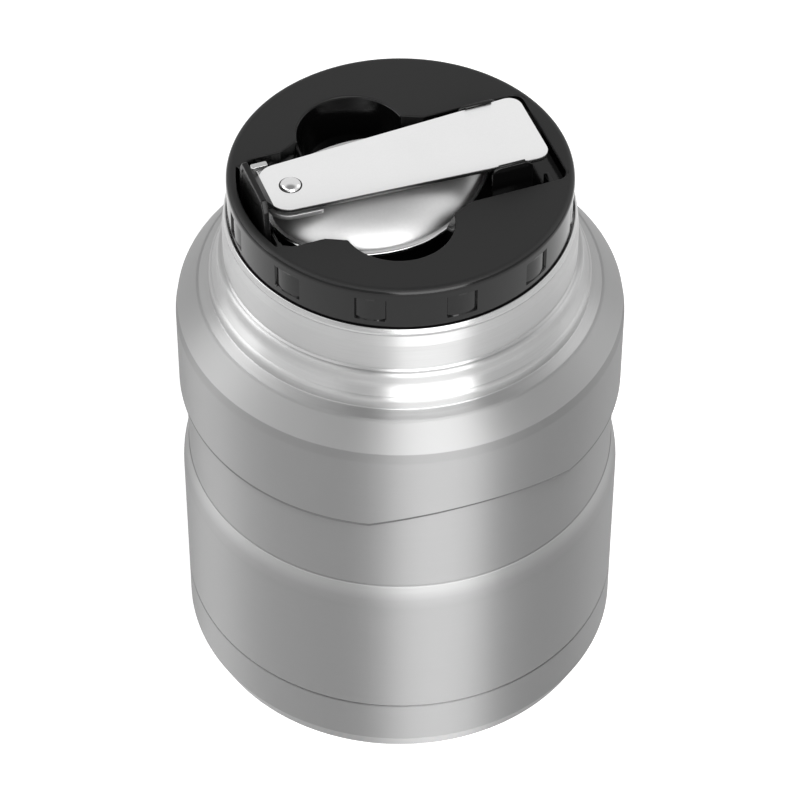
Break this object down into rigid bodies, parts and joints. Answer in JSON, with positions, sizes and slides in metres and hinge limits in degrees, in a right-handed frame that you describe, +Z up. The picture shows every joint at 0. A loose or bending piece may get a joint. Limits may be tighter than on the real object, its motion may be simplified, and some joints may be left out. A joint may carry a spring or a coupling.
{
  "type": "insulated food jar",
  "caption": "Double-walled steel food jar with an inset waist, a stepped neck and a dark screw stopper that carries a folding spoon under a latch and side clips.",
  "frame": {"origin": "middle of the flat foot, on the plane the jar stands on", "axes": "+Z up along the jar's axis; +X along the stowed spoon towards the handle's free end; -Y is the front, where the collar's edge rises as an arch"},
  "size_m": [0.0936, 0.0936, 0.1346],
  "materials": {
    "brushed_shell": "satin, brushed round the jar",
    "inner_steel": "plain satin stainless",
    "solder": "dull solder",
    "getter": "matte sintered tablet",
    "foil": "bright rolled foil",
    "silicone": "matte silicone",
    "cap_plastic": "fine matte moulding",
    "plug_plastic": "smooth moulding",
    "foam": "closed-cell foam",
    "latch_plastic": "semi-gloss moulding",
    "bowl_steel": "polished stainless",
    "rivet_steel": "polished stainless",
    "washer_plastic": "thin bearing washer",
    "handle_steel": "fine satin, almost white"
  },
  "bodies": {
    "jar": {"outer_shell": "brushed_shell", "base_cap": "brushed_shell", "outer_bottom": "inner_steel", "vent_seal": "solder", "getter_clip": "inner_steel", "getter_pellet": "getter", "foil_wrap": "foil", "inner_vessel": "inner_steel", "inner_bottom": "inner_steel"},
    "gasket": {"stopper_gasket": "silicone"},
    "stopper": {"stopper_cap": "cap_plastic", "stopper_plug": "plug_plastic", "stopper_foam": "foam", "stopper_end_plate": "plug_plastic"},
    "latch": {"spoon_latch": "latch_plastic"},
    "spoon": {"spoon_bowl": "bowl_steel", "spoon_rivet": "rivet_steel", "spoon_washer": "washer_plastic"},
    "handle": {"spoon_handle": "handle_steel"}
  },
  "joints": [
    {"name": "stopper_rise", "type": "slide", "parent": "jar", "child": "gasket", "axis": [0, 0, 1], "range_m": [0, 0.0401]},
    {"name": "stopper_turn", "type": "hinge", "parent": "gasket", "child": "stopper", "pos_m": [0, 0, 0.1175], "axis": [0, 0, 1], "range_deg": [0, 720]},
    {"name": "latch_flex", "type": "hinge", "parent": "stopper", "child": "latch", "pos_m": [-0.031, 0, 0.12095], "axis": [0, -1, 0], "range_deg": [0, 3], "stiffness_Nm_per_rad": 0.3},
    {"name": "spoon_lift", "type": "slide", "parent": "stopper", "child": "spoon", "axis": [0, 0, 1], "range_m": [0, 0.06]},
    {"name": "handle_swing", "type": "hinge", "parent": "spoon", "child": "handle", "pos_m": [-0.0234, 0, 0.1307], "axis": [0, 0, -1], "range_deg": [0, 180]}
  ],
  "couplings": [
    {"joint": "stopper_rise", "follows": "stopper_turn", "m_per_rad": 0.0031831},
    {"joint": "handle_swing", "follows": "spoon_lift", "rad_per_m": 52.35}
  ]
}
